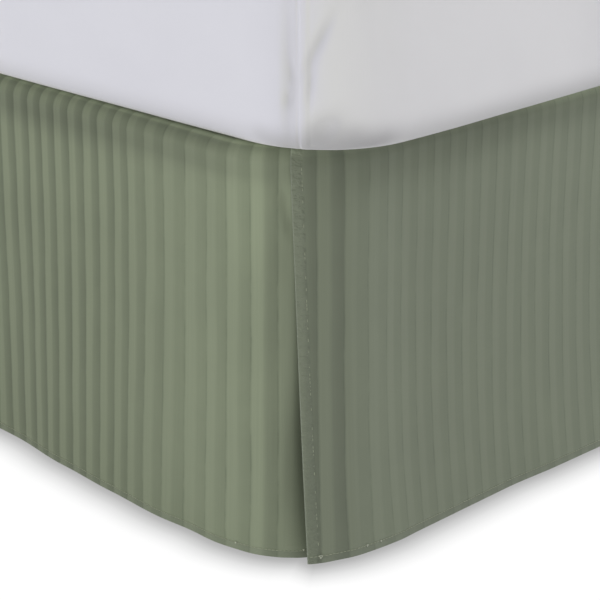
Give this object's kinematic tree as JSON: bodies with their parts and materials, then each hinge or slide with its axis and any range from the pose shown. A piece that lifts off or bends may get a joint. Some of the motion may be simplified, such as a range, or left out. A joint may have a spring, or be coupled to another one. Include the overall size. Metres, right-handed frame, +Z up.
{
  "type": "bed skirt on a bed",
  "caption": "Tailored bed skirt in striped sateen with split foot corners, hanging from under the mattress of a plain bed down to the floor.",
  "frame": {"origin": "on the floor under the middle of the bed, at the foot of the centre leg", "axes": "+Z up, +Y from the foot end to the head end, +X to the right of someone who stands at the foot end and looks at the head"},
  "size_m": [1.5637, 2.0638, 0.6489],
  "materials": {
    "skirt_cloth": "cotton sateen woven in 11 mm satin and plain stripes, sage green tone on tone",
    "deck_cloth": "plain unbleached platform cloth",
    "mattress_cover": "white cotton fitted sheet",
    "foundation_cover": "off-white woven ticking",
    "frame_steel": "dark powder coat",
    "glide_plastic": "moulded, dark grey"
  },
  "bodies": {
    "root": {"mattress": "mattress_cover", "foundation": "foundation_cover", "side_rail_left": "frame_steel", "side_rail_right": "frame_steel", "cross_rail_foot": "frame_steel", "cross_rail_middle": "frame_steel", "cross_rail_head": "frame_steel", "leg_foot_left": "frame_steel", "leg_foot_centre": "frame_steel", "leg_foot_right": "frame_steel", "leg_middle_left": "frame_steel", "leg_middle_centre": "frame_steel", "leg_middle_right": "frame_steel", "leg_head_left": "frame_steel", "leg_head_centre": "frame_steel", "leg_head_right": "frame_steel", "glide_foot_left": "glide_plastic", "glide_foot_centre": "glide_plastic", "glide_foot_right": "glide_plastic", "glide_middle_left": "glide_plastic", "glide_middle_centre": "glide_plastic", "glide_middle_right": "glide_plastic", "glide_head_left": "glide_plastic", "glide_head_centre": "glide_plastic", "glide_head_right": "glide_plastic", "skirt_deck": "deck_cloth", "skirt_side_left": "skirt_cloth", "skirt_side_right": "skirt_cloth", "skirt_foot": "skirt_cloth"}
  },
  "joints": []
}
